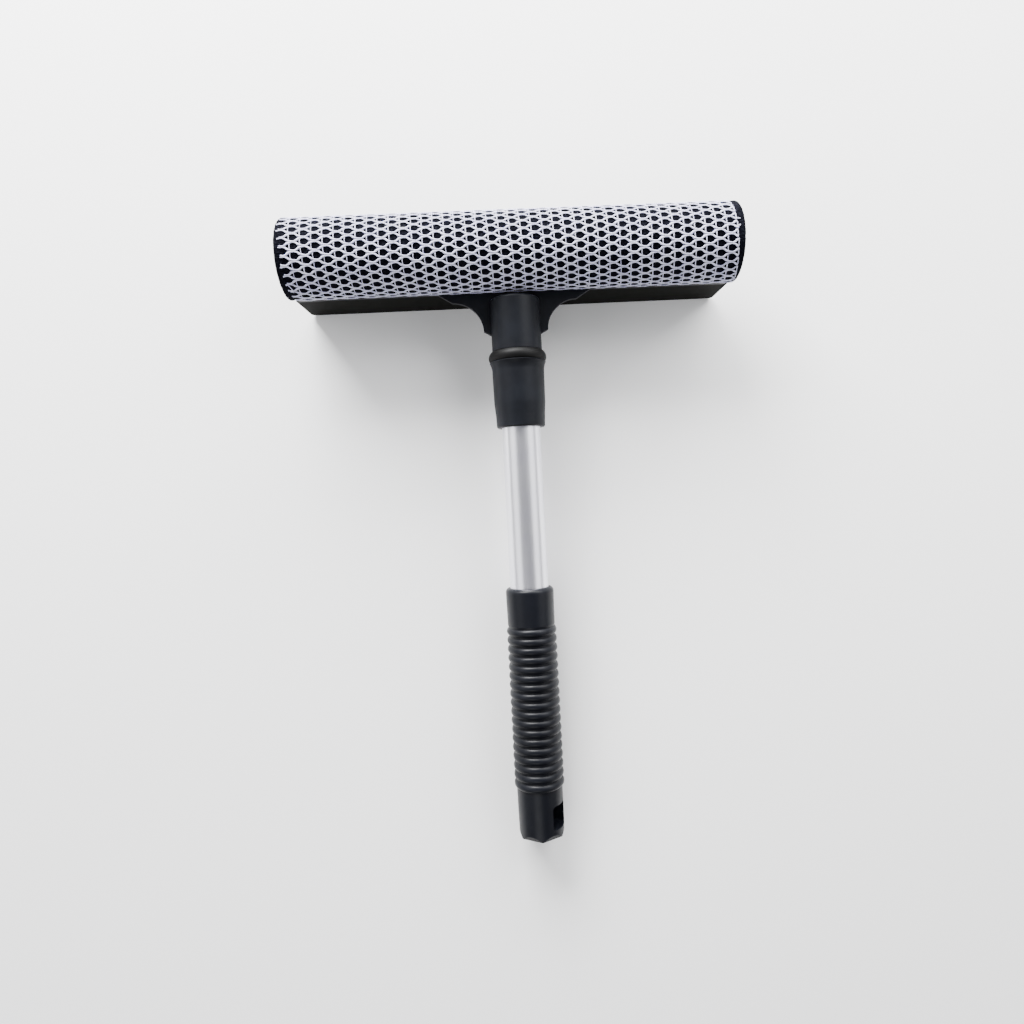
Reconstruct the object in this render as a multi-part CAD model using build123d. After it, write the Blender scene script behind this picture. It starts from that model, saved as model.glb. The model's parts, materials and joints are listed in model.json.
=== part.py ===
from build123d import *
from math import atan2, cos, degrees, pi, sin, sqrt
import os

# A hand-held window washer: a net-covered sponge and a rubber blade on opposite faces of one
# moulded head, on a two-tube handle that telescopes and locks by twisting.
#
# The pieces are drawn in the tool's own frame and placed at the end. There X runs across the
# head, Y along the handle with 0 at the end of the grip, and Z towards the sponge's side.
# The placed tool lies on its blade's edge and the end of its grip, with +Z up.

# ---- Driving dimensions, in mm ----

# Handle, measured along Y from the end of the grip
GRIP_LENGTH = 141.4
GRIP_END_WALL = 1.85       # walls of the grip, over the tube's radius
GRIP_WALL = 2.1
GRIP_TOP_WALL = 2.8
GRIP_EDGE = 2.5            # round at the grip's open end
GRIP_SHOULDER = 1.5        # slope above the last rib
GRIP_DRAFT = 0.3           # slant of the grip's smooth top
FACET_DEPTH = 4.0          # the six facets round the closed end
FACET_INSET = 1.5          # how far in the facets' middles reach at the very end
RIB_COUNT = 18
RIB_PITCH = 5.11
RIB_WIDTH = 4.3
RIB_HEIGHT = 1.2
FIRST_RIB = 29.8           # middle of the rib nearest the closed end

HANG_SLOT_WIDTH = 12.0
HANG_SLOT_HEIGHT = 13.4
HANG_SLOT_START = 5.2
HANG_SLOT_CORNER = 2.0
HANG_SLOT_TURN = 57.0      # degrees from +Z towards +X

TUBE_R = 11.0
TUBE_WALL = 0.9
TUBE_START = 24.0
TUBE_SEAT_IN_COLLAR = 29.0
TUBE_BARE = 91.7           # bare tube between grip and collar
TUBE_PLUG_LENGTH = 12.0
FLANGE = 2.0               # thickness of the flanges on the plugs

INNER_PLAY = 0.6           # between the outer tube's bore and the inner tube
INNER_WALL = 0.9
INNER_SEAT = 26.0          # how deep it sits in the neck
INNER_LENGTH = 229.0
EXTENSION = 150.0

COLLAR_LOW_WALL = 2.9      # walls of the collar, over the tube's radius
COLLAR_BODY_WALL = 3.7
COLLAR_FLARE_WALL = 5.2
COLLAR_TAPER = 14.0
COLLAR_BODY = 18.5
COLLAR_FLARE = 5.2
COLLAR_EDGE = 0.7          # bevel at the collar's low end
COLLAR_DRAFT = 0.25        # slant of its taper's low part and of its body
COLLAR_GROOVE = 0.5        # depth of the groove between the collar and its ring
COLLAR_BUSH_LENGTH = 6.0
BUSH_STEP = 1.0            # bush's radius over the tube's
RING_HEIGHT = 5.9
RING_BELLY = 5.6           # ring's largest radius over the tube's
RING_BELLY_AT = 0.35       # where the ring is widest, as a share of its height
RING_SPIGOT = 2.7
RING_SPIGOT_WALL = 1.6
COLLAR_PIN_R = 1.25
COLLAR_PIN_HEAD_R = 2.4
COLLAR_PIN_FROM_TOP = 25.0
PIN_SUNK = 0.8             # heads of the two small screws below the surface

# Twist lock, inside the tubes
PLUG_LENGTH = 20.0
PLUG_PIN_R = 1.0
PLUG_PIN_FROM_END = 15.0
SPINDLE_R = 4.0
SPINDLE_IN_PLUG = 12.0
SPINDLE_LENGTH = 40.5
THREAD_PITCH = 3.0
NUT_GAP = 2.0
NUT_HEIGHT = 10.0
NUT_WIDE_R = 6.5
NUT_TIP_R = 4.9
NUT_KEY_WIDTH = 1.0
NUT_KEY_REACH = 1.6
NUT_KEY_HEIGHT = 6.0
NUT_RIM = 1.0              # straight band at the nut's wide end, proud of the collet
COLLET_HEIGHT = 20.0
COLLET_SLIT = 1.3
COLLET_SLITS = 4
COLLET_FOOT = 5.0
STOP_HEIGHT = 4.0
STOP_PLAY = 2.1

# Neck and web of the moulded head
NECK_WALL = 4.85
NECK_LENGTH = 30.0
NECK_TO_PLATE = 4.3
NECK_EDGE = 1.5
NECK_SCREW_R = 1.5
NECK_SCREW_HEAD_R = 2.9
NECK_SCREW_AT = 13.0
NECK_SCREW_END = 0.6       # past the inner tube's wall
WEB_START = 9.5
WEB_STEP = 4.15            # web's lower corners beyond the neck's sides
WEB_CORNER = 2.55          # height of the web's slanting lower corners
WEB_ROOT = 0.5             # how far the web's lower edge starts inside the neck
WEB_SWEEP = 17.0           # radius of the web's hollow edge
WEB_END_REACH = 25.5
NECK_RIB_T = 2.4
NECK_RIB_STEP = 9.0
NECK_RIB_DROP = 9.0
NECK_RIB_OVERLAP = 4.0     # how far the ribs reach back over the neck

# Plate, sponge pad and net
HEAD_LENGTH = 250.0        # the net and the blade across the head
PAD_RISE = 3.6             # pad's middle above the handle's axis
PAD_R = 22.8
PAD_BELOW = 2.6            # flat back below the pad's middle
NET_T = 1.2
FOAM_STANDOUT = 3.0        # foam past the net at each end
FOAM_EDGE = 3.0
PLATE_T = 3.0
PLATE_END_MARGIN = 2.0     # plate and rail inside the net's and the blade's ends
PLATE_INSET = 0.35         # edge of the plate inside the pad's outline
STIFFENER_T = 1.8
STIFFENER_DROP = 6.0
STIFFENER_OFFSET = 8.0
CROSS_RIB_COUNT = 8
BACKING_T = 2.2
BACKING_SIDE_MARGIN = 5.65
BACKING_END_MARGIN = 7.0
BOSS_R = 4.0
BOSS_RISE = 6.0
BACKING_SCREW_R = 1.5
BACKING_SCREW_HEAD_R = 3.2
BACKING_SCREW_HEAD = 1.8
BACKING_SCREW_COUNT = 4
BACKING_SCREW_INSET = 27.0 # from each end of the net
BOSS_CAP = 1.0             # solid end of a boss, past its blind hole
DRIVE_SPAN = 1.92          # cross recess in a screw's head
DRIVE_WIDTH = 0.8
DRIVE_DEPTH = 0.8

# Rubber blade on its rail
BLADE_DROP = 33.5          # from the plate's underside to the edge
BLADE_T = 2.6
BLADE_GAP = 0.6            # blade's face behind the plate's front edge
BLADE_ROOT_HEIGHT = 13.0
BLADE_TAPER = 4.0
BLADE_CORNER = 3.0
BLADE_WALL = 2.2
RAIL_T = 2.0
RAIL_HEIGHT = 10.0
RAIL_BEAD_T = 3.2
RAIL_BEAD_HEIGHT = 2.6
RIVET_R = 1.5
RIVET_HEAD_R = 3.0
RIVET_HEAD = 1.2
RIVET_INSET = 9.0          # from each end of the blade
RIVET_DEPTH = 5.0
RIVET_EDGE = 0.6

# Named clearances
GAP = 0.3                  # between pieces that move apart or past each other
FIT = 0.05                 # radial, running fit
SEAT = 0.1                 # round a soft or moulded piece in its seat
PAST = 1.0                 # how far a cut runs past the piece it goes through

# ---- Places worked out from them ----
TUBE_BORE_R = TUBE_R - TUBE_WALL
INNER_R = TUBE_BORE_R - INNER_PLAY
INNER_BORE_R = INNER_R - INNER_WALL
GRIP_END_R = TUBE_R + GRIP_END_WALL
RIB_ROOT_R = TUBE_R + GRIP_WALL
RIB_R = RIB_ROOT_R + RIB_HEIGHT
GRIP_TOP_R = TUBE_R + GRIP_TOP_WALL
COLLAR_LOW_R = TUBE_R + COLLAR_LOW_WALL
COLLAR_BODY_R = TUBE_R + COLLAR_BODY_WALL
COLLAR_FLARE_R = TUBE_R + COLLAR_FLARE_WALL
BUSH_R = TUBE_R + BUSH_STEP
RING_R = TUBE_R + RING_BELLY
RING_SPIGOT_R = INNER_R + GAP + RING_SPIGOT_WALL
STOP_R = TUBE_BORE_R - STOP_PLAY
NECK_R = INNER_R + NECK_WALL
COLLAR_START = GRIP_LENGTH + TUBE_BARE
TUBE_END = COLLAR_START + TUBE_SEAT_IN_COLLAR
BUSH_END = TUBE_END + COLLAR_BUSH_LENGTH
COLLAR_END = COLLAR_START + COLLAR_TAPER + COLLAR_BODY + COLLAR_FLARE
RING_END = COLLAR_END + RING_HEIGHT
NECK_START = RING_END + GAP
NECK_END = NECK_START + NECK_LENGTH
INNER_END = NECK_START + INNER_SEAT
INNER_START = INNER_END - INNER_LENGTH
PLUG_FACE = INNER_START - FLANGE
NUT_TOP = PLUG_FACE - NUT_GAP
NUT_BOTTOM = NUT_TOP - NUT_HEIGHT
COLLET_TOP = NUT_TOP - NUT_RIM
COLLET_BOTTOM = COLLET_TOP - COLLET_HEIGHT
STOP_TOP = COLLET_BOTTOM - GAP
SPINDLE_TOP = PLUG_FACE + SPINDLE_IN_PLUG
SPINDLE_BOTTOM = SPINDLE_TOP - SPINDLE_LENGTH

PLATE_TOP = PAD_RISE - PAD_BELOW
PLATE_BOTTOM = PLATE_TOP - PLATE_T
PAD_HALF = sqrt(PAD_R**2 - PAD_BELOW**2)
PLATE_FRONT = NECK_END + NECK_TO_PLATE
HEAD_Y = PLATE_FRONT + PAD_HALF - PLATE_INSET
PLATE_BACK = HEAD_Y + PAD_HALF - PLATE_INSET
PLATE_LENGTH = HEAD_LENGTH - 2 * PLATE_END_MARGIN
FOAM_LENGTH = HEAD_LENGTH + 2 * FOAM_STANDOUT
BACKING_WIDTH = 2 * (PAD_HALF - BACKING_SIDE_MARGIN)
BACKING_LENGTH = HEAD_LENGTH - 2 * BACKING_END_MARGIN
BACKING_SCREW_END = HEAD_LENGTH / 2 - BACKING_SCREW_INSET
BACKING_SCREW_STEP = 2 * BACKING_SCREW_END / (BACKING_SCREW_COUNT - 1)
BACKING_SCREW_X = [i * BACKING_SCREW_STEP - BACKING_SCREW_END for i in range(BACKING_SCREW_COUNT)]
NET_FLOOR = PLATE_TOP + NET_T
BACKING_TOP = NET_FLOOR + BACKING_T
BOSS_TOP = BACKING_TOP + BOSS_RISE
BLADE_FACE = PLATE_FRONT + BLADE_GAP
BLADE_ROOT_T = RAIL_T + 2 * (BLADE_WALL + SEAT)
RAIL_FRONT = BLADE_FACE + BLADE_WALL + SEAT
BLADE_EDGE = PLATE_BOTTOM - BLADE_DROP

LIFT = degrees(atan2(-BLADE_EDGE - GRIP_END_R, BLADE_FACE))


# ---- Helpers ----
def turned(points):
    """A solid of revolution about the handle's axis, from (radius, y) points."""
    face = make_face(Polyline(*points, close=True))
    return revolve(face, Axis.Y, 360)


def ring(outer, inner, start, end):
    """A plain tube about the handle's axis."""
    return turned([(inner, start), (outer, start), (outer, end), (inner, end)])


def rod(radius, start, end):
    """A plain rod on the handle's axis."""
    return turned([(0, start), (radius, start), (radius, end), (0, end)])


def block(x, y, z):
    """A box between two limits on each axis."""
    size = (x[1] - x[0], y[1] - y[0], z[1] - z[0])
    middle = ((x[0] + x[1]) / 2, (y[0] + y[1]) / 2, (z[0] + z[1]) / 2)
    return Pos(*middle) * Box(*size)


def upright(radius, x, y, low, high):
    """A cylinder along Z between two heights."""
    return Pos(x, y, (low + high) / 2) * Cylinder(radius, high - low)


def d_section(radius, floor, length):
    """The pad's D-shaped bar along X, cut flat at the height floor."""
    bar = Pos(0, HEAD_Y, PAD_RISE) * Rot(0, 90, 0) * Cylinder(radius, length)
    return bar & block((-length, length), (0, 2 * HEAD_Y), (floor, floor + 2 * radius))


def tapped_pin(head_r, pin_r, at_y, outer_r, reach):
    """A countersunk screw from below, its head's top at radius outer_r, ending at reach."""
    slope = head_r - pin_r
    profile = [(0, -outer_r), (head_r, -outer_r), (pin_r, slope - outer_r), (pin_r, -reach), (0, -reach)]
    face = Plane.XZ * make_face(Polyline(*profile, close=True))
    return Pos(0, at_y, 0) * revolve(face, Axis.Z, 360)


def sunk_hole(pin, head_r, at_y, outer_r):
    """What to cut away for a countersunk screw whose head sits below the surface."""
    return pin + upright(head_r, 0, at_y, -2 * outer_r, -outer_r)


# ---- Handle ----
def grip():
    """Moulded sleeve with rounded ribs, a faceted closed end and a slot to hang it by."""
    low = [(0, 0), (GRIP_END_R, 0), (RIB_ROOT_R, HANG_SLOT_START + HANG_SLOT_HEIGHT)]
    outline = Polyline(*low, (RIB_ROOT_R, FIRST_RIB - RIB_WIDTH / 2))
    for i in range(RIB_COUNT):
        middle = FIRST_RIB + i * RIB_PITCH
        start, end = middle - RIB_WIDTH / 2, middle + RIB_WIDTH / 2
        outline += ThreePointArc((RIB_ROOT_R, start), (RIB_R, middle), (RIB_ROOT_R, end))
        if i < RIB_COUNT - 1:
            outline += Line((RIB_ROOT_R, end), (RIB_ROOT_R, end + RIB_PITCH - RIB_WIDTH))
    last = FIRST_RIB + (RIB_COUNT - 1) * RIB_PITCH + RIB_WIDTH / 2
    shoulder = GRIP_LENGTH - GRIP_EDGE
    neck = (GRIP_TOP_R - GRIP_DRAFT, last + GRIP_SHOULDER)
    outline += Polyline((RIB_ROOT_R, last), neck, (GRIP_TOP_R, shoulder))
    turn = GRIP_EDGE * cos(pi / 4)
    rim = (GRIP_TOP_R - GRIP_EDGE, GRIP_LENGTH)
    outline += ThreePointArc((GRIP_TOP_R, shoulder), (rim[0] + turn, shoulder + turn), rim)
    bore_start = TUBE_START - FLANGE
    inside = [(TUBE_R, GRIP_LENGTH), (TUBE_R, bore_start), (0, bore_start), (0, 0)]
    outline += Polyline(rim, *inside)
    body = revolve(make_face(outline), Axis.Y, 360)
    reach = 2 * GRIP_END_R
    facets = loft([hexagon(GRIP_END_R - FACET_INSET, 0), hexagon(GRIP_END_R + FACET_INSET / 2, FACET_DEPTH)])
    end = block((-reach, reach), (-PAST, FACET_DEPTH), (-reach, reach))
    body = (body - end) + (body & end & facets)
    middle = HANG_SLOT_START + HANG_SLOT_HEIGHT / 2
    slot = fillet(Box(HANG_SLOT_WIDTH, HANG_SLOT_HEIGHT, 2 * reach).edges().filter_by(Axis.Z), HANG_SLOT_CORNER)
    return body - Pos(0, middle, 0) * Rot(0, HANG_SLOT_TURN, 0) * slot


def hexagon(apothem, y):
    """A six-sided face across the handle, with a corner towards +Z."""
    corner = apothem / cos(pi / 6)
    points = [(corner * sin(i * pi / 3), y, corner * cos(i * pi / 3)) for i in range(6)]
    return make_face(Polyline(*points, close=True))


def outer_tube():
    tube = ring(TUBE_R, TUBE_BORE_R, TUBE_START, TUBE_END)
    return tube - upright(COLLAR_PIN_R, 0, COLLAR_END - COLLAR_PIN_FROM_TOP, -2 * TUBE_R, 0)


def tube_end_plug():
    stem = rod(TUBE_BORE_R, TUBE_START, TUBE_START + TUBE_PLUG_LENGTH)
    return stem + rod(TUBE_R, TUBE_START - FLANGE, TUBE_START)


def collar():
    """Moulded collar on the outer tube: a taper, a straight body and a flared mouth."""
    body_start = COLLAR_START + COLLAR_TAPER
    flare_start = body_start + COLLAR_BODY
    mouth = (COLLAR_BODY_R + COLLAR_DRAFT, flare_start)
    rise = COLLAR_FLARE_R - mouth[0]
    lip = (COLLAR_FLARE_R, COLLAR_END - COLLAR_GROOVE)
    outline = Polyline((TUBE_R, COLLAR_START), (COLLAR_LOW_R - COLLAR_EDGE, COLLAR_START),
                       (COLLAR_LOW_R, COLLAR_START + COLLAR_EDGE),
                       (COLLAR_LOW_R + COLLAR_DRAFT, COLLAR_START + COLLAR_TAPER / 2),
                       (COLLAR_BODY_R, body_start), mouth)
    outline += ThreePointArc(mouth, (mouth[0] + rise / 4, (mouth[1] + lip[1]) / 2), lip)
    outline += Polyline(lip, (COLLAR_FLARE_R - COLLAR_GROOVE, COLLAR_END), (RING_SPIGOT_R, COLLAR_END),
                        (RING_SPIGOT_R, BUSH_END), (BUSH_R, BUSH_END), (BUSH_R, TUBE_END),
                        (TUBE_R, TUBE_END), (TUBE_R, COLLAR_START))
    shell = revolve(make_face(outline), Axis.Y, 360)
    at = COLLAR_END - COLLAR_PIN_FROM_TOP
    return shell - sunk_hole(collar_pin(), COLLAR_PIN_HEAD_R, at, COLLAR_LOW_R - PIN_SUNK)


def collar_pin():
    at = COLLAR_END - COLLAR_PIN_FROM_TOP
    return tapped_pin(COLLAR_PIN_HEAD_R, COLLAR_PIN_R, at, COLLAR_LOW_R - PIN_SUNK, INNER_R + GAP)


def guide_bush():
    return ring(BUSH_R, INNER_R + FIT, TUBE_END, BUSH_END)


def wiper_ring():
    """Soft ring on the collar's mouth, which keeps water out of the tubes and stops the neck."""
    bore = INNER_R + GAP
    spigot_start = COLLAR_END - RING_SPIGOT
    outline = Polyline((bore, RING_END), (bore, spigot_start), (RING_SPIGOT_R, spigot_start),
                       (RING_SPIGOT_R, COLLAR_END), (COLLAR_FLARE_R - COLLAR_GROOVE, COLLAR_END),
                       (COLLAR_FLARE_R, COLLAR_END + COLLAR_GROOVE))
    belly = (RING_R, COLLAR_END + RING_BELLY_AT * RING_HEIGHT)
    top = (NECK_R + GAP, RING_END)
    outline += ThreePointArc((COLLAR_FLARE_R, COLLAR_END + COLLAR_GROOVE), belly, top)
    outline += Line(top, (bore, RING_END))
    return revolve(make_face(outline), Axis.Y, 360)


# ---- Twist lock ----
def inner_tube():
    tube = ring(INNER_R, INNER_BORE_R, INNER_START, INNER_END)
    tube -= upright(NECK_SCREW_R, 0, NECK_START + NECK_SCREW_AT, -2 * INNER_R, 0)
    return tube - plug_pin()


def lock_plug():
    """Plug in the inner tube's end, which carries the spindle."""
    plug = rod(INNER_BORE_R, INNER_START, INNER_START + PLUG_LENGTH)
    plug += rod(INNER_R, PLUG_FACE, INNER_START)
    return plug - rod(SPINDLE_R, PLUG_FACE, SPINDLE_TOP) - plug_pin()


def plug_pin():
    at = INNER_START + PLUG_PIN_FROM_END
    return upright(PLUG_PIN_R, 0, at, -INNER_R + FIT, INNER_R - FIT)


def lock_spindle():
    return rod(SPINDLE_R, SPINDLE_BOTTOM, SPINDLE_TOP)


def spindle_stop():
    """Nut on the spindle's end, which keeps the collet on it."""
    flats = hexagon(STOP_R * cos(pi / 6), STOP_TOP - STOP_HEIGHT)
    return extrude(flats, STOP_HEIGHT, dir=(0, 1, 0)) - lock_spindle()


def cone_nut():
    """Tapered nut that the spindle draws into the collet, kept from turning by its key."""
    bore = SPINDLE_R + FIT
    cone = turned([(bore, NUT_BOTTOM), (NUT_TIP_R, NUT_BOTTOM), (NUT_WIDE_R, NUT_TOP - NUT_RIM),
                   (NUT_WIDE_R, NUT_TOP), (bore, NUT_TOP)])
    half = NUT_KEY_WIDTH / 2
    middle = (SPINDLE_R + NUT_TIP_R) / 2
    key = block((middle, NUT_WIDE_R + NUT_KEY_REACH), (NUT_TOP - NUT_KEY_HEIGHT, NUT_TOP), (-half, half))
    return cone + key


def lock_collet():
    """Split sleeve that the cone nut spreads against the outer tube's wall."""
    mouth = NUT_WIDE_R + FIT
    seat = NUT_TIP_R + FIT
    sleeve = turned([
        (SPINDLE_R + FIT, COLLET_BOTTOM), (TUBE_BORE_R - FIT, COLLET_BOTTOM),
        (TUBE_BORE_R - FIT, COLLET_TOP), (mouth, COLLET_TOP), (seat, NUT_BOTTOM),
        (seat, NUT_BOTTOM - GAP), (SPINDLE_R + FIT, NUT_BOTTOM - GAP),
    ])
    half = COLLET_SLIT / 2
    top = COLLET_TOP + PAST
    for i in range(COLLET_SLITS):
        slit = block((SPINDLE_R, 2 * TUBE_R), (COLLET_BOTTOM + COLLET_FOOT, top), (-half, half))
        sleeve -= Rot(0, i * 360 / COLLET_SLITS, 0) * slit
    return sleeve


# ---- Head ----
def rail():
    """T-rail under the plate, which the blade slides onto."""
    foot = PLATE_BOTTOM - RAIL_HEIGHT
    half = PLATE_LENGTH / 2
    stem = block((-half, half), (RAIL_FRONT, RAIL_FRONT + RAIL_T), (foot, PLATE_BOTTOM))
    spread = (RAIL_BEAD_T - RAIL_T) / 2
    bead = block((-half, half), (RAIL_FRONT - spread, RAIL_FRONT + RAIL_T + spread),
                 (foot, foot + RAIL_BEAD_HEIGHT))
    return stem + bead


def web():
    """Flat web from the neck's sides to the plate, with a hollow sweep on each side."""
    start = NECK_START + WEB_START
    corner = start + WEB_CORNER
    side = NECK_R + WEB_STEP
    turn = WEB_SWEEP * (1 - cos(pi / 4))
    middle = (side + turn, corner + WEB_SWEEP - turn)
    finish = (side + WEB_SWEEP, corner + WEB_SWEEP)
    edge = Polyline((0, start), (NECK_R - WEB_ROOT, start), (side, corner))
    edge += ThreePointArc((side, corner), middle, finish)
    end, inside = side + WEB_END_REACH, PLATE_FRONT + PAST
    edge += Polyline(finish, (end, PLATE_FRONT), (end, inside), (0, inside), (0, start))
    half = Pos(0, 0, PLATE_BOTTOM) * extrude(make_face(edge), PLATE_T, dir=(0, 0, 1))
    return half + mirror(half, Plane.YZ)


def head_body():
    """One moulding: neck, web, plate with stiffeners, and the blade's rail."""
    half = PLATE_LENGTH / 2
    body = block((-half, half), (PLATE_FRONT, PLATE_BACK), (PLATE_BOTTOM, PLATE_TOP)) + web() + rail()
    neck = rod(NECK_R, NECK_START, NECK_END)
    neck = fillet(neck.edges().group_by(Axis.Y)[-1], NECK_EDGE)
    body += neck
    foot = PLATE_BOTTOM - STIFFENER_DROP
    rows = (HEAD_Y - STIFFENER_OFFSET, HEAD_Y + STIFFENER_OFFSET, PLATE_BACK - STIFFENER_T)
    for y in rows:
        body += block((-half, half), (y, y + STIFFENER_T), (foot, PLATE_BOTTOM))
    step = (PLATE_LENGTH - STIFFENER_T) / (CROSS_RIB_COUNT - 1)
    for i in range(CROSS_RIB_COUNT):
        x = -half + i * step
        body += block((x, x + STIFFENER_T), (rows[0], PLATE_BACK), (foot, PLATE_BOTTOM))
    for i in (-1, 0, 1):
        x = i * NECK_RIB_STEP
        body += block((x - NECK_RIB_T / 2, x + NECK_RIB_T / 2), (NECK_END - NECK_RIB_OVERLAP, PLATE_FRONT),
                      (PLATE_BOTTOM - NECK_RIB_DROP, PLATE_BOTTOM))
    body -= rod(INNER_R + FIT, NECK_START, INNER_END)
    at = NECK_START + NECK_SCREW_AT
    body -= sunk_hole(neck_screw(), NECK_SCREW_HEAD_R, at, NECK_R - PIN_SUNK)
    body -= pad_screw_holes(PLATE_BOTTOM, PLATE_TOP)
    return body - rivet_shanks()


def neck_screw():
    at = NECK_START + NECK_SCREW_AT
    return tapped_pin(NECK_SCREW_HEAD_R, NECK_SCREW_R, at, NECK_R - PIN_SUNK, INNER_BORE_R - NECK_SCREW_END)


def pad_screw_holes(low, high):
    return Compound([upright(BACKING_SCREW_R + SEAT, x, HEAD_Y, low, high) for x in BACKING_SCREW_X])


def sponge_core():
    """Foam bar with a flat back, recessed for the backing plate and its bosses."""
    foam = d_section(PAD_R - NET_T - SEAT, NET_FLOOR + SEAT, FOAM_LENGTH)
    ends = foam.edges().group_by(Axis.X)
    foam = fillet(ends[0] + ends[-1], FOAM_EDGE)
    half_x = BACKING_LENGTH / 2 + SEAT
    half_y = BACKING_WIDTH / 2 + SEAT
    foam -= block((-half_x, half_x), (HEAD_Y - half_y, HEAD_Y + half_y), (0, BACKING_TOP + SEAT))
    for x in BACKING_SCREW_X:
        foam -= upright(BOSS_R + SEAT, x, HEAD_Y, 0, BOSS_TOP + SEAT)
    return foam


def net_sleeve():
    """Knitted tube over the foam and its backing plate, open at both ends."""
    tube = d_section(PAD_R, PLATE_TOP, HEAD_LENGTH)
    tube -= d_section(PAD_R - NET_T, NET_FLOOR, HEAD_LENGTH + 2 * PAST)
    return tube - pad_screw_holes(PLATE_TOP - PAST, NET_FLOOR + PAST)


def backing_plate():
    """Strip in the net, with a boss for each screw that clamps the pad to the head."""
    half_x, half_y = BACKING_LENGTH / 2, BACKING_WIDTH / 2
    plate = block((-half_x, half_x), (HEAD_Y - half_y, HEAD_Y + half_y), (NET_FLOOR, BACKING_TOP))
    for x in BACKING_SCREW_X:
        plate += upright(BOSS_R, x, HEAD_Y, BACKING_TOP, BOSS_TOP)
    for x in BACKING_SCREW_X:
        plate -= upright(BACKING_SCREW_R, x, HEAD_Y, 0, BOSS_TOP - BOSS_CAP)
    return plate


def backing_screws():
    screws = []
    for x in BACKING_SCREW_X:
        shank = upright(BACKING_SCREW_R, x, HEAD_Y, PLATE_BOTTOM, BOSS_TOP - 2 * BOSS_CAP)
        head = upright(BACKING_SCREW_HEAD_R, x, HEAD_Y, PLATE_BOTTOM - BACKING_SCREW_HEAD, PLATE_BOTTOM)
        drive = Box(DRIVE_SPAN, DRIVE_WIDTH, 2 * DRIVE_DEPTH) + Box(DRIVE_WIDTH, DRIVE_SPAN, 2 * DRIVE_DEPTH)
        screws.append(shank + head - Pos(x, HEAD_Y, PLATE_BOTTOM - BACKING_SCREW_HEAD) * drive)
    return Compound(screws)


def rubber_blade():
    """Extruded rubber: a thick root with a T-groove for the rail, tapering to a thin blade."""
    top, face = PLATE_BOTTOM, BLADE_FACE
    root = top - BLADE_ROOT_HEIGHT
    back = face + BLADE_ROOT_T
    thin = face + BLADE_T
    outline = Polyline((0, face, top), (0, back, top), (0, back, root), (0, thin, root - BLADE_TAPER),
                       (0, thin, BLADE_EDGE), (0, face, BLADE_EDGE), close=True)
    half = HEAD_LENGTH / 2
    blade = Pos(-half, 0, 0) * extrude(make_face(outline), HEAD_LENGTH, dir=(1, 0, 0))
    corners = blade.edges().filter_by(Axis.Y).group_by(Axis.Z)[0]
    blade = fillet(corners, BLADE_CORNER)
    low, high = RAIL_FRONT - SEAT, RAIL_FRONT + RAIL_T + SEAT
    foot = top - RAIL_HEIGHT - SEAT
    spread = (RAIL_BEAD_T - RAIL_T) / 2
    bead_top = top - RAIL_HEIGHT + RAIL_BEAD_HEIGHT + SEAT
    blade -= block((-half - PAST, half + PAST), (low, high), (foot, top + PAST))
    blade -= block((-half - PAST, half + PAST), (low - spread, high + spread), (foot, bead_top))
    return blade - rivet_shanks()


def rivet_shanks():
    back = BLADE_FACE + BLADE_ROOT_T
    middle = PLATE_BOTTOM - RAIL_HEIGHT / 2
    x = HEAD_LENGTH / 2 - RIVET_INSET
    shank = Rot(90, 0, 0) * Cylinder(RIVET_R, RIVET_DEPTH)
    return Compound([Pos(side * x, back - RIVET_DEPTH / 2, middle) * shank for side in (-1, 1)])


def blade_rivets():
    """Push rivets through the blade's root and the rail, from the side away from the handle."""
    back = BLADE_FACE + BLADE_ROOT_T
    middle = PLATE_BOTTOM - RAIL_HEIGHT / 2
    x = HEAD_LENGTH / 2 - RIVET_INSET
    cap = Rot(90, 0, 0) * Cylinder(RIVET_HEAD_R, RIVET_HEAD)
    cap = fillet(cap.edges().group_by(Axis.Y)[-1], RIVET_EDGE)
    shank = Rot(90, 0, 0) * Cylinder(RIVET_R, RIVET_DEPTH)
    rivet = Pos(0, back + RIVET_HEAD / 2, 0) * cap + Pos(0, back - RIVET_DEPTH / 2, 0) * shank
    return Compound([Pos(side * x, 0, middle) * rivet for side in (-1, 1)])


# ---- Placing and writing ----
NODES = {
    "head_body": head_body,
    "sponge_core": sponge_core,
    "net_sleeve": net_sleeve,
    "backing_plate": backing_plate,
    "backing_screws": backing_screws,
    "rubber_blade": rubber_blade,
    "blade_rivets": blade_rivets,
    "neck_screw": neck_screw,
    "inner_tube": inner_tube,
    "lock_plug": lock_plug,
    "plug_pin": plug_pin,
    "lock_spindle": lock_spindle,
    "spindle_stop": spindle_stop,
    "cone_nut": cone_nut,
    "lock_collet": lock_collet,
    "outer_tube": outer_tube,
    "tube_end_plug": tube_end_plug,
    "collar": collar,
    "collar_pin": collar_pin,
    "guide_bush": guide_bush,
    "wiper_ring": wiper_ring,
    "grip": grip,
}

pieces = {name: Rot(LIFT, 0, 0) * make() for name, make in NODES.items()}
whole = Compound([solid for piece in pieces.values() for solid in piece.solids()]).bounding_box()
STAND = Pos(-whole.center().X, -whole.center().Y, -whole.min.Z)

os.makedirs("parts", exist_ok=True)
for name, piece in pieces.items():
    placed = Compound([STAND * solid for solid in piece.solids()])
    export_step(placed, os.path.join("parts", name + ".step"))
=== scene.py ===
import json
import math

import bpy
import numpy as np
from mathutils import Matrix, Vector


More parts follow.
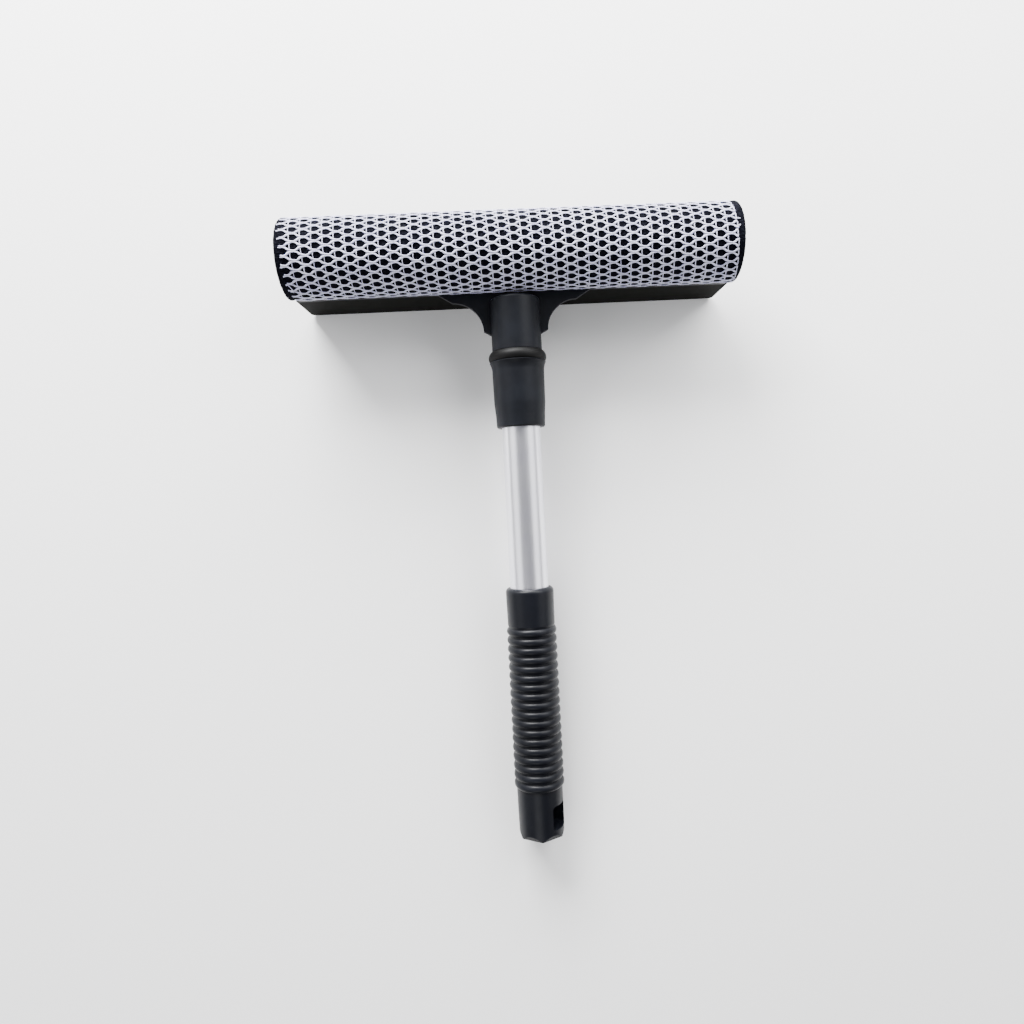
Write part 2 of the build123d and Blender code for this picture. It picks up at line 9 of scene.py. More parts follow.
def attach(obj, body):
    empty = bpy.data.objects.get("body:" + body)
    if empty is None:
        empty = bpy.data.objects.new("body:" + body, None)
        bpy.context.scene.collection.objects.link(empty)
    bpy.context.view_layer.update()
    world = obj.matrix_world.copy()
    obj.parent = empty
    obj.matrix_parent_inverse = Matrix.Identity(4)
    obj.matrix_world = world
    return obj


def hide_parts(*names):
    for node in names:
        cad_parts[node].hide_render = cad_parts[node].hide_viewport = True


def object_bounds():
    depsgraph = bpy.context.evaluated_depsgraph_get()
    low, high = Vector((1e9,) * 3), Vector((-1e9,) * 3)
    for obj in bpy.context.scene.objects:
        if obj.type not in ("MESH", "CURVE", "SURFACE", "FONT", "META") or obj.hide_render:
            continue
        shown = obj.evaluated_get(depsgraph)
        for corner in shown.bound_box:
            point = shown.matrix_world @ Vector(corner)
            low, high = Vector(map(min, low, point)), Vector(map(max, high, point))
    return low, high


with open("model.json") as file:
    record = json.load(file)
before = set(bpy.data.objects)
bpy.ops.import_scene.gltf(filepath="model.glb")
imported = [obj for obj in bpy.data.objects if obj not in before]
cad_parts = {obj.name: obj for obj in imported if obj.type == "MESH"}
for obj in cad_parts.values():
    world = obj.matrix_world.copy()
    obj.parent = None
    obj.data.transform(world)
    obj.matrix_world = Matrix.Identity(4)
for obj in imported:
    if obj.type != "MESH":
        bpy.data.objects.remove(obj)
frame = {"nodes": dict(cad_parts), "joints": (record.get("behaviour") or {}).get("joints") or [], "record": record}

CAD_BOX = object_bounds()
MM = 0.001
rng = np.random.default_rng(47)

# ---------------------------------------------------------------- the tool's own axes
# Across the head, along the handle and out of the handle's plane on the sponge's side. The
# handle leans a few degrees from the floor, so shapes are worked out on these axes.
joints = {joint["name"]: joint for joint in frame["joints"]}
ALONG = np.array(joints["extend"]["axis"], float)
ACROSS = np.array([1.0, 0.0, 0.0])
OUT = np.cross(ACROSS, ALONG)
AXES = np.array([ACROSS, ALONG, OUT])
AXIS_POINT = np.array(joints["twist_lock"]["pos_m"], float)
grip_points = np.array([v.co for v in frame["nodes"]["grip"].data.vertices], float)
ORIGIN = AXIS_POINT + ALONG * ((grip_points - AXIS_POINT) @ ALONG).min()   # the grip's end


def limits(node):
    """Lowest and highest corner of a CAD node on the tool's axes."""
    points = np.array([v.co for v in frame["nodes"][node].data.vertices], float)
    local = (points - ORIGIN) @ AXES.T
    return local.min(0), local.max(0)


def place(local):
    """Points on the tool's axes, in the row frame."""
    return ORIGIN + np.asarray(local, float) @ AXES


NET_LOW, NET_HIGH = limits("net_sleeve")
FOAM_LOW, FOAM_HIGH = limits("sponge_core")
BACKING_LOW, BACKING_HIGH = limits("backing_plate")
PAD_R = (NET_HIGH[1] - NET_LOW[1]) / 2
PAD_ALONG = (NET_HIGH[1] + NET_LOW[1]) / 2
PAD_OUT = NET_HIGH[2] - PAD_R
PAD_FLOOR = NET_LOW[2]


# ---------------------------------------------------------------- mesh helpers
def mesh_object(name, points, faces, material):
    """A smooth-shaded mesh from points on the tool's axes, in metres."""
    mesh = bpy.data.meshes.new(name)
    mesh.from_pydata(place(points).tolist(), [], faces)
    mesh.validate()
    obj = bpy.data.objects.new(name, mesh)
    bpy.context.scene.collection.objects.link(obj)
    mesh.materials.append(material)
    mesh.polygons.foreach_set("use_smooth", [True] * len(mesh.polygons))
    return obj


def smoothstep(t):
    t = np.clip(t, 0, 1)
    return t * t * (3 - 2 * t)


# ---------------------------------------------------------------- materials
def new_material(name, colour, roughness, metallic=0.0, gloss=0.5):
    material = bpy.data.materials.new(name)
    material.use_nodes = True
    shader = material.node_tree.nodes["Principled BSDF"]
    shader.inputs["Base Color"].default_value = (*colour, 1)
    shader.inputs["Roughness"].default_value = roughness
    shader.inputs["Metallic"].default_value = metallic
    shader.inputs["Specular IOR Level"].default_value = gloss
    return material, material.node_tree, shader


def add(tree, kind, **values):
    """A node with some of its properties or inputs set by name."""
    node = tree.nodes.new(kind)
    for key, value in values.items():
        if key in node.inputs:
            node.inputs[key].default_value = value
        else:
            setattr(node, key, value)
    return node


def stretched(tree, scale):
    """Object coordinates scaled by a different amount on each axis."""
    place_node = add(tree, "ShaderNodeTexCoord")
    mapping = add(tree, "ShaderNodeMapping")
    mapping.inputs["Scale"].default_value = scale
    tree.links.new(place_node.outputs["Object"], mapping.inputs["Vector"])
    return mapping.outputs["Vector"]


def noise(tree, vector, scale, detail=4.0, roughness=0.55):
    node = add(tree, "ShaderNodeTexNoise", Scale=scale, Detail=detail, Roughness=roughness)
    tree.links.new(vector, node.inputs["Vector"])
    return node.outputs["Fac"]


def ramp(tree, value, stops):
    """A colour ramp from (position, colour) stops."""
    node = add(tree, "ShaderNodeValToRGB")
    elements = node.color_ramp.elements
    while len(elements) < len(stops):
        elements.new(0.5)
    for element, (position, colour) in zip(elements, stops):
        element.position = position
        element.color = (*colour, 1) if len(colour) == 3 else colour
    tree.links.new(value, node.inputs["Fac"])
    return node.outputs["Color"]


def span(tree, value, low, high):
    """A factor spread between two numbers."""
    node = add(tree, "ShaderNodeMapRange")
    node.inputs["To Min"].default_value = low
    node.inputs["To Max"].default_value = high
    tree.links.new(value, node.inputs["Value"])
    return node.outputs["Result"]


def bump(tree, shader, height, distance, strength=1.0, before=None):
    node = add(tree, "ShaderNodeBump", Strength=strength, Distance=distance)
    tree.links.new(height, node.inputs["Height"])
    if before is not None:
        tree.links.new(before.outputs["Normal"], node.inputs["Normal"])
    tree.links.new(node.outputs["Normal"], shader.inputs["Normal"])
    return node


def moulded_plastic(name, dark, light, rough, grain_mm=0.35, grain_depth=0.012):
    """Satin moulded plastic: fine spark-erosion grain, faint flow marks and uneven gloss."""
    material, tree, shader = new_material(name, dark, rough, gloss=0.12)
    coordinates = stretched(tree, (1, 1, 1))
    flow = noise(tree, coordinates, 60, 3)
    tree.links.new(ramp(tree, flow, [(0.35, dark), (0.7, light)]), shader.inputs["Base Color"])
    smears = noise(tree, coordinates, 220, 5, 0.65)
    tree.links.new(span(tree, smears, rough - 0.07, rough + 0.09), shader.inputs["Roughness"])
    grain = noise(tree, coordinates, 1 / (grain_mm * MM), 2, 0.5)
    bump(tree, shader, grain, grain_depth * MM, 0.6)
    return material


def soft_grip():
    """Soft-touch black with a fine matt grain and a little dust-dulled gloss."""
    material, tree, shader = new_material("grip_plastic", (0.003, 0.0035, 0.005), 0.36, gloss=0.16)
    coordinates = stretched(tree, (1, 1, 1))
    flow = noise(tree, coordinates, 45, 3)
    colours = [(0.35, (0.0028, 0.0032, 0.005)), (0.7, (0.0045, 0.0052, 0.008))]
    tree.links.new(ramp(tree, flow, colours), shader.inputs["Base Color"])
    smears = noise(tree, coordinates, 260, 4, 0.6)
    tree.links.new(span(tree, smears, 0.30, 0.44), shader.inputs["Roughness"])
    grain = noise(tree, coordinates, 3200, 2, 0.5)
    bump(tree, shader, grain, 0.015 * MM, 0.5)
    return material


def drawn_aluminium():
    """Bright anodised tube: fine draw lines along it, soft unevenness in the gloss."""
    material, tree, shader = new_material("tube_metal", (0.92, 0.91, 0.97), 0.32, 1.0)
    lines = noise(tree, stretched(tree, (900, 12, 900)), 3.0, 3, 0.6)
    clouds = noise(tree, stretched(tree, (1, 1, 1)), 70, 3)
    tree.links.new(ramp(tree, clouds, [(0.3, (0.89, 0.88, 0.96)), (0.75, (0.95, 0.95, 0.99))]),
                   shader.inputs["Base Color"])
    tree.links.new(span(tree, lines, 0.26, 0.38), shader.inputs["Roughness"])
    bump(tree, shader, lines, 0.004 * MM, 0.5)
    return material


def plated_steel():
    material, tree, shader = new_material("steel", (0.62, 0.62, 0.64), 0.33, 1.0)
    patches = noise(tree, stretched(tree, (1, 1, 1)), 600, 4)
    tree.links.new(span(tree, patches, 0.25, 0.45), shader.inputs["Roughness"])
    tree.links.new(ramp(tree, patches, [(0.3, (0.5, 0.5, 0.53)), (0.7, (0.68, 0.68, 0.69))]),
                   shader.inputs["Base Color"])
    bump(tree, shader, patches, 0.01 * MM, 0.4)
    return material


def extruded_rubber():
    """Matt dark rubber: faint extrusion lines along its length and a bloom of pale specks."""
    material, tree, shader = new_material("blade_rubber", (0.005, 0.005, 0.004), 0.75, gloss=0.05)
    lines = noise(tree, stretched(tree, (18, 700, 700)), 2.0, 3, 0.6)
    specks = noise(tree, stretched(tree, (1, 1, 1)), 900, 3, 0.7)
    mixed = add(tree, "ShaderNodeMath", operation="MULTIPLY")
    tree.links.new(lines, mixed.inputs[0])
    tree.links.new(specks, mixed.inputs[1])
    colours = [(0.12, (0.003, 0.003, 0.0025)), (0.45, (0.0075, 0.0075, 0.006))]
    tree.links.new(ramp(tree, mixed.outputs[0], colours), shader.inputs["Base Color"])
    tree.links.new(span(tree, specks, 0.68, 0.85), shader.inputs["Roughness"])
    bump(tree, shader, lines, 0.02 * MM, 0.5)
    return material


def open_foam():
    """Black-blue reticulated foam: round cells, with painted shade darkening the pores between paler walls."""
    material, tree, shader = new_material("foam", (0.003, 0.003, 0.006), 0.95, gloss=0.04)
    coordinates = stretched(tree, (1, 1, 1))
    cells = add(tree, "ShaderNodeTexVoronoi", Scale=1150.0, feature="F1")
    tree.links.new(coordinates, cells.inputs["Vector"])
    walls = cells.outputs["Distance"]
    # painted shade: the colour falls to near black towards each cell's middle, in the pits that the bump sinks
    colours = [(0.05, (0.0004, 0.0004, 0.001)), (0.55, (0.002, 0.0022, 0.005)),
               (0.9, (0.009, 0.0095, 0.014))]
    tree.links.new(ramp(tree, walls, colours), shader.inputs["Base Color"])
    bump(tree, shader, walls, 0.45 * MM, 1.0)
    return material


def sums(tree, operation, first, second):
    """One Math node; either input may be a socket or a number."""
    node = add(tree, "ShaderNodeMath", operation=operation)
    for socket, value in zip(node.inputs, (first, second)):
        if isinstance(value, (int, float)):
            socket.default_value = value
        else:
            tree.links.new(value, socket)
    return node.outputs[0]


LOOP_TURNS = 2 * math.pi / 1.05         # radians of the loop pattern to a millimetre of wale
LOOP_SLANT = 6.5                        # how far a loop's flanks trail its middle, in radians
LOOP_CROWN = 2.2                        # how much a loop falls off to its flanks


def knitted_yarn():
    """White multifilament polyester in chain stitches: each wale is a row of slanting loops
    with a furrow on either side. Its colour is greyed in random patches of soiling, and painted shade, darker and
    bluer, fills its furrows."""
    material, tree, shader = new_material("net", (0.76, 0.76, 0.93), 0.62, gloss=0.35)
    strand = add(tree, "ShaderNodeUVMap", uv_map="strand")
    parts = add(tree, "ShaderNodeSeparateXYZ")
    tree.links.new(strand.outputs["UV"], parts.inputs[0])
    off_middle = sums(tree, "ABSOLUTE", sums(tree, "SUBTRACT", parts.outputs["Y"], 0.5), 0.0)
    phase = sums(tree, "ADD", sums(tree, "MULTIPLY", parts.outputs["X"], LOOP_TURNS),
                 sums(tree, "MULTIPLY", off_middle, LOOP_SLANT))
    loops = sums(tree, "SINE", phase, 0.0)
    rounded = sums(tree, "SUBTRACT", loops, sums(tree, "MULTIPLY", off_middle, LOOP_CROWN))
    filaments = noise(tree, stretched(tree, (500, 3400, 3400)), 1.0, 2, 0.5)
    soiling = noise(tree, stretched(tree, (1, 1, 1)), 90, 3)
    # random soiling plus painted shade: the colour darkens where the loop relief falls away into the furrows
    furrow_shade_and_soiling = sums(tree, "ADD", sums(tree, "MULTIPLY", rounded, 0.16), soiling)
    colours = [(0.08, (0.48, 0.48, 0.68)), (0.38, (0.68, 0.68, 0.90)), (0.62, (0.80, 0.80, 0.97))]
    tree.links.new(ramp(tree, furrow_shade_and_soiling, colours), shader.inputs["Base Color"])
    tree.links.new(span(tree, filaments, 0.52, 0.72), shader.inputs["Roughness"])
    shader.inputs["Sheen Weight"].default_value = 0.15
    shader.inputs["Subsurface Weight"].default_value = 0.12
    shader.inputs["Subsurface Radius"].default_value = (0.0005, 0.0005, 0.0006)
    first = bump(tree, shader, rounded, 0.13 * MM, 0.8)
    bump(tree, shader, filaments, 0.05 * MM, 0.6, first)
    return material


def natural_nylon():
    material, tree, shader = new_material("inner_plastic", (0.72, 0.72, 0.67), 0.45)
    clouds = noise(tree, stretched(tree, (1, 1, 1)), 120, 4)
    tree.links.new(ramp(tree, clouds, [(0.3, (0.68, 0.68, 0.62)), (0.7, (0.76, 0.76, 0.71))]),
                   shader.inputs["Base Color"])
    tree.links.new(span(tree, clouds, 0.38, 0.52), shader.inputs["Roughness"])
    shader.inputs["Subsurface Weight"].default_value = 0.1
    shader.inputs["Subsurface Radius"].default_value = (0.002, 0.002, 0.0018)
    bump(tree, shader, noise(tree, stretched(tree, (1, 1, 1)), 2400, 2), 0.01 * MM, 0.4)
    return material


MATERIALS = {
    "black_plastic": moulded_plastic(
        "black_plastic", (0.0045, 0.005, 0.007), (0.0065, 0.0075, 0.0105), 0.42),
    "grip_plastic": soft_grip(),
    "foam": open_foam(),
    "net": knitted_yarn(),
    "blade_rubber": extruded_rubber(),
    "seal_rubber": moulded_plastic(
        "seal_rubber", (0.0024, 0.0024, 0.0026), (0.0036, 0.0036, 0.0036), 0.52, 0.25),
    "tube_metal": drawn_aluminium(),
    "steel": plated_steel(),
    "inner_plastic": natural_nylon(),
}


def dress_cad_nodes():
    """Each CAD node takes the material of its slot in the record."""
    for part in frame["record"]["subparts"]:
        node = frame["nodes"][part["node"]]
        node.data.materials.clear()
        node.data.materials.append(MATERIALS[part["material_slot"]])


# ---------------------------------------------------------------- foam
FOAM_UNDER_NET = 0.9 * MM     # foam's surface below the net's outside
FOAM_STEP = 1.3 * MM
END_ROUND = 1.8 * MM
END_BULGE = 0.6 * MM          # foam swells a little where the net ends
END_DOME = 1.5 * MM
NET_T = 1.2 * MM              # the net's wall in the CAD, between foam and plate
ARC_POINTS, FLAT_POINTS = 72, 30
RECESS_EASE = 0.4 * MM        # the backing plate's recess is this much wider, with a soft edge
RECESS_END = 0.3 * MM
RECESS_DEPTH = 0.2 * MM       # and this much deeper
BULGE_FROM = 2.0 * MM         # the swelling starts this far inside the net's end
BULGE_OVER = 2.5 * MM
DOME_RINGS = (0.9, 0.78, 0.66, 0.54, 0.42, 0.3, 0.18, 0.08)


def pore_noise(points, scale, amount):
    """Smooth repeatable unevenness from a few crossed waves."""
    x, y, z = (points / scale).T
    waves = np.sin(1.7 * x + 2.3 * np.sin(1.1 * y)) + np.sin(2.1 * y + 1.9 * np.sin(1.3 * z + x))
    return amount * (waves + np.sin(2.7 * z - 1.5 * x + 0.7 * y)) / 3


def foam_outline(radius, floor, recess):
    """The D outline round the pad's middle, with the backing plate's recess in its flat."""
    drop = PAD_OUT - floor
    reach = math.acos(-drop / radius)
    angle = np.linspace(-reach, reach, ARC_POINTS)
    arc = np.stack([radius * np.sin(angle), radius * np.cos(angle)], 1)
    half = radius * math.sin(reach)
    across = np.linspace(half, -half, FLAT_POINTS + 2)[1:-1]
    recess_half = (BACKING_HIGH[1] - BACKING_LOW[1]) / 2 + RECESS_EASE
    inside = smoothstep((recess_half - np.abs(across)) / RECESS_EASE)
    flat = np.stack([across, np.full(FLAT_POINTS, floor - PAD_OUT) + recess * inside], 1)
    return np.vstack([arc, flat])


def make_foam():
    length = FOAM_HIGH[0] - FOAM_LOW[0]
    count = int(length / FOAM_STEP)
    floor = PAD_FLOOR + NET_T
    turns = np.linspace(0, math.pi / 2, 6)[1:]
    middle = np.linspace(-length / 2 + END_ROUND, length / 2 - END_ROUND, count)
    left = -length / 2 + END_ROUND - END_ROUND * np.sin(turns)[::-1]
    stations = np.concatenate([left, middle, -left[::-1]])
    inset = np.zeros(len(stations))
    rounding = END_ROUND * (1 - np.cos(turns))
    inset[: len(turns)], inset[-len(turns):] = rounding[::-1], rounding
    radius = PAD_R - FOAM_UNDER_NET
    backing_end = (BACKING_HIGH[0] - BACKING_LOW[0]) / 2 + RECESS_END
    rings = []
    for x, shrink in zip(stations, inset):
        swell = END_BULGE * smoothstep((abs(x) - NET_HIGH[0] + BULGE_FROM) / BULGE_OVER)
        recess = (BACKING_HIGH[2] - floor + RECESS_DEPTH) * (abs(x) < backing_end)
        outline = foam_outline(radius + swell, floor, recess)
        outline = outline * (1 - shrink / radius)
        rings.append(np.column_stack([np.full(len(outline), x), outline]))
    size = len(rings[0])
    points = np.vstack(rings)
    faces = []
    for i in range(len(rings) - 1):
        for j in range(size):
            k = (j + 1) % size
            faces.append((i * size + j, i * size + k, (i + 1) * size + k, (i + 1) * size + j))
    for first, side in ((0, -1), ((len(rings) - 1) * size, 1)):
        points, faces = close_foam_end(points, faces, first, size, side)
    points[:, 1:] += (points[:, 1:] / radius) * pore_noise(points, 1.1 * MM, 0.10 * MM)[:, None]
    points[:, 0] += np.sign(points[:, 0]) * pore_noise(points, 0.9 * MM, 0.12 * MM)
    points[:, 1] += PAD_ALONG
    points[:, 2] += PAD_OUT
    foam = mesh_object("sponge_foam", points, faces, MATERIALS["foam"])
    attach(foam, "head")
    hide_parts("sponge_core")


def close_foam_end(points, faces, first, size, side):
    """Domed end face: rings that shrink towards the middle."""
    edge = points[first:first + size]
    centre = edge.mean(0)
    last = list(range(first, first + size))
    for share in DOME_RINGS:
        ring = centre + (edge - centre) * share
        ring[:, 0] += side * END_DOME * (1 - share**2)
        start = len(points)
        points = np.vstack([points, ring])
        now = list(range(start, start + size))
        for j in range(size):
            k = (j + 1) % size
            quad = (last[j], now[j], now[k], last[k])
            faces.append(quad if side < 0 else quad[::-1])
        last = now
    tip = centre + np.array([side * END_DOME, 0, 0])
    points = np.vstack([points, tip])
    for j in range(size):
        k = (j + 1) % size
        tri = (last[j], len(points) - 1, last[k])
        faces.append(tri if side < 0 else tri[::-1])
    return points, faces


# ---------------------------------------------------------------- net
# A warp-knitted hexagonal net, worked out on the sleeve unrolled flat: u across the head, v
# round the foam from its crest towards the handle. Its wales run across the head. Two of them
# lie side by side in a bar, then part round the next opening and meet the next wale. A thin
# lap thread closes the fork where they part.
COLUMNS = 42
END_BARE = 2.2 * MM           # the net stops this much sooner at its right end
NET_LENGTH = NET_HIGH[0] - NET_LOW[0]
COLUMN = (NET_LENGTH - END_BARE) / (COLUMNS - 0.1)
ROW = 5.06 * MM
BAR = 0.64 * MM               # one wale's width where two lie side by side
FORK_AT = 0.36                # where two wales part, as a share of a column from a bar's middle
LAP_AT = 0.615
STATIONS = (0.0, 0.11, 0.21, 0.29, 0.35, 0.40, 0.46, 0.53, 0.62, 0.78)
START, STOP = -0.32, 0.62     # ends of the first and last bars, in columns
WAIST = 0.36                  # how much a wale narrows where it crosses over
SKEW = 0.05                   # the sleeve is pulled a little askew round the foam
SPREAD = 0.010                # and its sides are pulled wider than its crest
TUCK = 1.7 * MM               # how far the net is followed under the foam
MIDDLE_DEPTH = 0.46 * MM      # middle of the wales below the net's outside
YARN_R = PAD_R - MIDDLE_DEPTH
REACH = math.acos(-(PAD_OUT - PAD_FLOOR) / PAD_R) * YARN_R
WALE_TOP, WALE_UNDER = 0.34 * MM, 0.24 * MM
LAP_LIFT = 0.04 * MM          # lap threads over the middle of the wales
LAP_OVERLAP = 0.25 * MM       # how far a lap thread's ends run into the wales
LAP_BOW = 0.08 * MM
LAP_HALF, LAP_UNEVEN = 0.25, 0.03       # half a lap thread's thickness, in mm, and its spread
THREAD_TURN = 0.8             # how fast the loop pattern runs along a thread, against a wale
THREAD_SIDES = 4
WALE_LEAST = 0.1 * MM         # width left of a wale that the tuck's edge cuts
CUT_END = 0.12                # how much a wale narrows at its first end, as a share of BAR


def sleeve(u, v, lift):
    """Point on the sleeve at u across and v round it, raised by lift."""
    inner = np.clip(v, -REACH, REACH)
    under = np.abs(v) - np.abs(inner)
    angle = inner / YARN_R
    radius = YARN_R + lift
    y = -radius * np.sin(angle) + np.sign(v) * under
    z = radius * np.cos(angle)
    x = u * (1 + SPREAD * (1 - np.cos(angle)))
    return np.stack([x, PAD_ALONG + y, PAD_OUT + z], -1)


def pulled(u, v):
    """Where the knit's place (u, v) has been pulled to."""
    a, b = u / (21 * MM), v / (14 * MM)
    wide = np.sin(a + 1.9 * np.sin(b)) + np.sin(1.7 * b - 0.8 * a)
    close = np.sin(4.1 * a + 2.7 * b) * np.sin(3.3 * b - 2.9 * a)
    other = np.sin(1.3 * b + 2.1 * np.sin(0.9 * a)) + np.sin(1.1 * a - 1.9 * b)
    small = np.sin(3.7 * b - 3.1 * a) * np.sin(4.3 * a + 2.2 * b)
    moved_u = u + SKEW * v + 0.14 * MM * wide + 0.10 * MM * close
    return moved_u, v + 0.09 * MM * other + 0.08 * MM * small


class Knit:
    """Collects strands into one mesh, with along and across the strand as its UV map."""

    def __init__(self):
        self.points, self.faces, self.uv, self.count = [], [], [], 0

    def loft(self, rings, along, across):
        """A closed skin through rings of points, one ring at each place along the strand."""
        n, sides = rings.shape[:2]
        base = self.count + np.arange(n - 1)[:, None] * sides
        j = np.arange(sides)
        k = (j + 1) % sides
        quads = np.stack([base + j, base + k, base + k + sides, base + j + sides], -1)
        self.faces += quads.reshape(-1, 4).tolist()
        self.faces.append((self.count + j[::-1]).tolist())
        self.faces.append((self.count + (n - 1) * sides + j).tolist())
        self.points.append(rings.reshape(-1, 3))
        spread = np.broadcast_arrays(np.asarray(along)[:, None], np.asarray(across)[None])
        self.uv.append(np.stack(spread, -1).reshape(-1, 2))
        self.count += n * sides

    def ribbon(self, u, low, high, swell):
        """A wale between its two edges, flat-bottomed and rounded on top."""
        shares = np.array([0.0, 0.30, 0.70, 1.0, 0.5])
        lifts = np.array([0.0, WALE_TOP, WALE_TOP, 0.0, -WALE_UNDER])
        v = low[:, None] + (high - low)[:, None] * shares
        moved_u, moved_v = pulled(u[:, None] + 0 * v, v)
        rings = sleeve(moved_u, moved_v, lifts * swell[:, None])
        self.loft(rings, u / MM, shares)

    def thread(self, u, v, lift, half):
        """A thin round thread through places on the sleeve."""
        moved_u, moved_v = pulled(u, v)
        path = sleeve(moved_u, moved_v, lift)
        ahead = np.gradient(path, axis=0)
        ahead /= np.linalg.norm(ahead, axis=1, keepdims=True)
        out = sleeve(moved_u, moved_v, lift + MM) - path
        side = np.cross(out, ahead)
        side /= np.linalg.norm(side, axis=1, keepdims=True)
        up = np.cross(ahead, side)
        angle = np.arange(THREAD_SIDES) * math.pi / 2 + 0.4
        rings = (path[:, None] + half * (side[:, None] * np.cos(angle)[:, None]
                                        + up[:, None] * np.sin(angle)[:, None]))
        self.loft(rings, np.arange(len(path)) * THREAD_TURN, np.linspace(0, 1, THREAD_SIDES))

    def finish(self, name, material):
        obj = mesh_object(name, np.vstack(self.points), self.faces, material)
        layer = obj.data.uv_layers.new(name="strand")
        corner = np.zeros(len(obj.data.loops), np.int32)
        obj.data.loops.foreach_get("vertex_index", corner)
        layer.data.foreach_set("uv", np.vstack(self.uv)[corner].astype(np.float32).ravel())
        return obj


def parting(share):
    """How far a wale's two edges have crossed to the next bar, at a share of a column.
    The edge by the fork leaves quickly and settles slowly; the other one does the opposite."""
    inner = 1 - (1 - np.clip((share - FORK_AT) / (1 - FORK_AT), 0, 1)) ** 2.3
    outer = np.clip(share / (FORK_AT + 0.01), 0, 1) ** 2.3
    return inner, outer


def add_wale(knit, number, first_u):
    """One wale across the whole head. It lies in bar number, then in bar number + 1."""
    columns = np.arange(-1, COLUMNS)
    u = (columns[:, None] + np.array(STATIONS)).ravel()
    share = u - np.floor(u + 1e-9)
    column = np.floor(u + 1e-9).astype(int)
    inner, outer = parting(share)
    bar = number * ROW / 2
    next_bar = bar + ROW / 2
    crossing = ROW / 2 - BAR
    goes_on = (number + column) % 2 == 0        # from bar number to the next one
    low = np.where(goes_on, bar + crossing * inner, next_bar - BAR - crossing * outer)
    high = np.where(goes_on, bar + BAR + crossing * outer, next_bar - crossing * inner)
    start = START + 0.10 * rng.normal()
    stop = COLUMNS - 1 + STOP + 0.03 * rng.normal()
    waist = 1 - WAIST * np.exp(-(((share - FORK_AT - 0.02) / 0.17) ** 2))
    middle, half = (low + high) / 2, (high - low) / 2 * waist
    low, high = middle - half, middle + half
    keep = (u > start) & (u < stop)
    u, low, high = u[keep], low[keep], high[keep]
    u = np.concatenate([[start], u, [stop]])
    low = np.concatenate([[low[0] + CUT_END * BAR], low, [low[-1]]])
    high = np.concatenate([[high[0] - CUT_END * BAR], high, [high[-1]]])
    limit = REACH + TUCK
    low = np.clip(low, -limit, limit - WALE_LEAST)
    high = np.clip(high, -limit + WALE_LEAST, limit)
    swell = 1 + 0.10 * np.sin(u * 9.1 + number) + 0.08 * rng.normal(size=len(u))
    knit.ribbon(first_u + u * COLUMN, low, high, swell)


def make_net():
    knit = Knit()
    first_u = NET_LOW[0] + (0.05 - START) * COLUMN
    rows = int((REACH + TUCK) / (ROW / 2))
    for number in range(-rows, rows):
        add_wale(knit, number, first_u)
    for column in range(COLUMNS):
        for number in range(-rows + 1, rows):
            if (number + column) % 2:
                continue
            inner, _ = parting(LAP_AT)
            half = (ROW / 2 - BAR) * inner + LAP_OVERLAP
            v = number * ROW / 2 + np.linspace(-half, half, 4)
            jitter = 0.02 * rng.normal()
            bow = (column + LAP_AT + jitter) * COLUMN + LAP_BOW * np.array([0, -1, -1, 0])
            lift = np.full(THREAD_SIDES, LAP_LIFT)
            knit.thread(first_u + bow, v, lift, (LAP_HALF + LAP_UNEVEN * rng.normal()) * MM)
    add_loose_ends(knit, first_u)
    net = knit.finish("net_knit", MATERIALS["net"])
    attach(net, "head")
    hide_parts("net_sleeve")


def add_loose_ends(knit, first_u):
    """Stray cut threads: two at the right end, a picked-up bundle at the lower left corner."""
    right = first_u + (COLUMNS - 1 + STOP) * COLUMN
    left = first_u + START * COLUMN
    t = np.linspace(0, 1, 6)
    for v, reach, rise in ((-6.2 * MM, 2.6 * MM, 0.3), (-1.6 * MM, 2.2 * MM, -0.5)):
        for offset in (0.0, 0.34 * MM):
            knit.thread(right + (reach * t - 0.8 * MM), v + offset + rise * MM * t**2,
                        0.10 * MM + 0.25 * MM * t, 0.17 * MM)
    for i in range(5):
        start_v = (20.5 + 0.9 * i) * MM
        v = start_v + (4.2 - 0.5 * i) * MM * t
        curl = np.sin(t * math.pi * (0.8 + 0.1 * i))
        u = left + (0.2 + 0.5 * i) * MM + (1.7 - 0.4 * i) * MM * curl
        knit.thread(u, v, 0.30 * MM + 0.22 * MM * np.sin(t * math.pi), 0.19 * MM)


# ---------------------------------------------------------------- stage
FLOOR_SIZE, FLOOR_DROP = 60, 0.2 * MM
LIT_POINT = Vector((0, 0.05, 0))


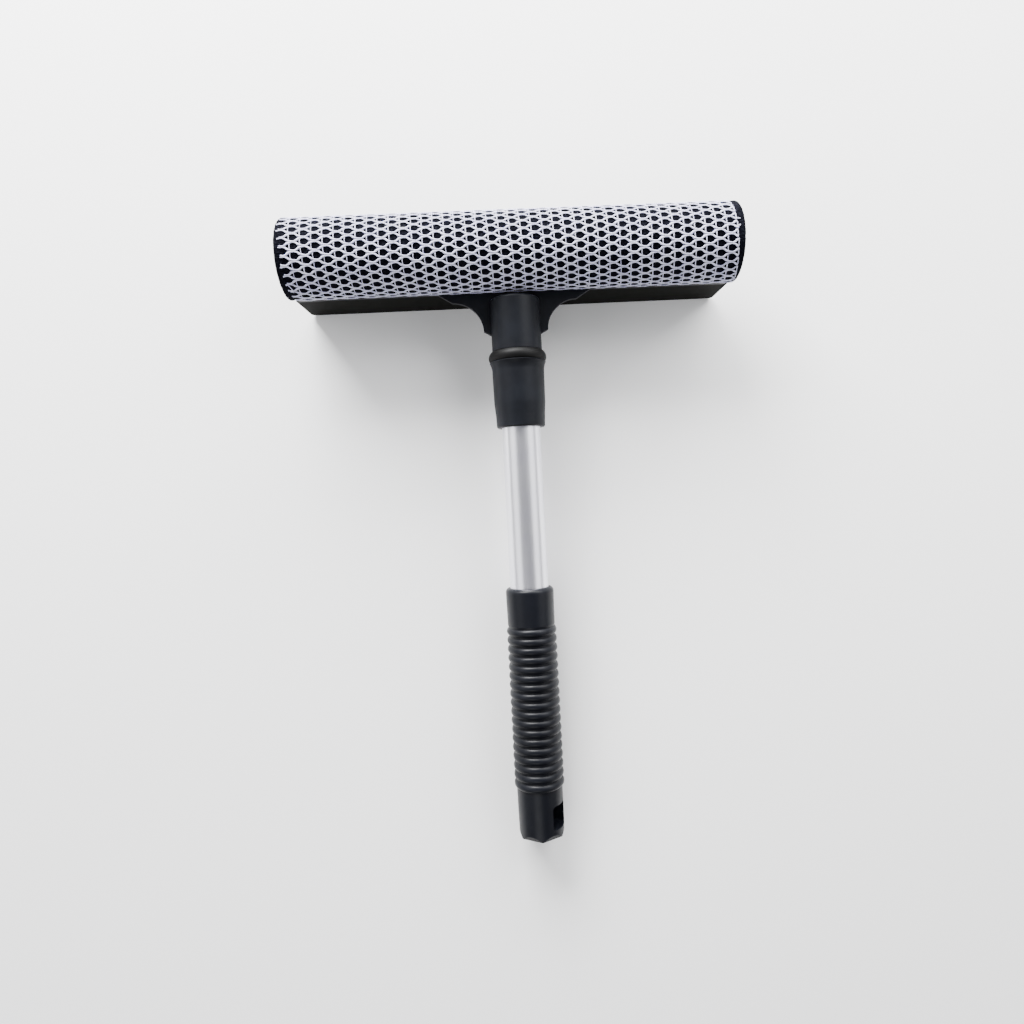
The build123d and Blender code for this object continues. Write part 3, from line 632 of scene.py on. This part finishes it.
def make_stage():
    floor_material, tree, shader = new_material("floor", (0.95, 0.95, 0.95), 0.9)
    bpy.ops.mesh.primitive_plane_add(size=FLOOR_SIZE, location=(0, 0, CAD_BOX[0][2] - FLOOR_DROP))
    floor = bpy.context.active_object
    floor.name = "floor"
    floor.data.materials.append(floor_material)
    world = bpy.data.worlds.new("studio")
    bpy.context.scene.world = world
    world.use_nodes = True
    background = world.node_tree.nodes["Background"]
    background.inputs["Color"].default_value = (0.93, 0.95, 1.0, 1)
    background.inputs["Strength"].default_value = 0.27
    softbox("key", (-0.36, 1.00, 0.54), 0.70, 0.50, 54.0)
    softbox("fill", (0.60, 0.62, 0.62), 0.50, 0.80, 11.0)
    softbox("back", (0.10, 1.08, 0.36), 0.90, 0.30, 26.0)
    softbox("front", (-0.25, -0.75, 0.90), 0.60, 0.40, 3.0)
    softbox("left", (-0.80, 0.10, 0.55), 1.40, 0.60, 5.0)
    softbox("right", (0.80, 0.10, 0.55), 1.40, 0.60, 5.0)


def softbox(name, position, width, height, watts):
    data = bpy.data.lights.new(name, "AREA")
    data.shape = "RECTANGLE"
    data.size, data.size_y, data.energy = width, height, watts
    lamp = bpy.data.objects.new(name, data)
    lamp.location = position
    lamp.rotation_euler = (LIT_POINT - Vector(position)).to_track_quat("-Z", "Y").to_euler()
    bpy.context.scene.collection.objects.link(lamp)


CAMERA_AT = (-0.0077, 0.1995, 0.403)    # on the tool's axes
CAMERA_YAW, CAMERA_ROLL = -1.94, -2.98  # degrees
CAMERA_LENS = 24.6                      # mm, on a 36 mm sensor
CAMERA_SHIFT = (-0.022, -0.026)


def make_camera():
    data = bpy.data.cameras.new("camera")
    data.sensor_width = 36
    data.lens = CAMERA_LENS
    data.shift_x, data.shift_y = CAMERA_SHIFT
    data.clip_start = 0.02
    camera = bpy.data.objects.new("camera", data)
    bpy.context.scene.collection.objects.link(camera)
    tool = Matrix(AXES.T.tolist())
    yaw = Matrix.Rotation(math.radians(CAMERA_YAW), 3, "Y")
    roll = Matrix.Rotation(math.radians(CAMERA_ROLL), 3, "Z")
    matrix = (tool @ yaw @ roll).to_4x4()
    matrix.translation = Vector(place(CAMERA_AT).tolist())
    camera.matrix_world = matrix
    bpy.context.scene.camera = camera


# ---------------------------------------------------------------- build
dress_cad_nodes()
make_foam()
make_net()
make_stage()
make_camera()
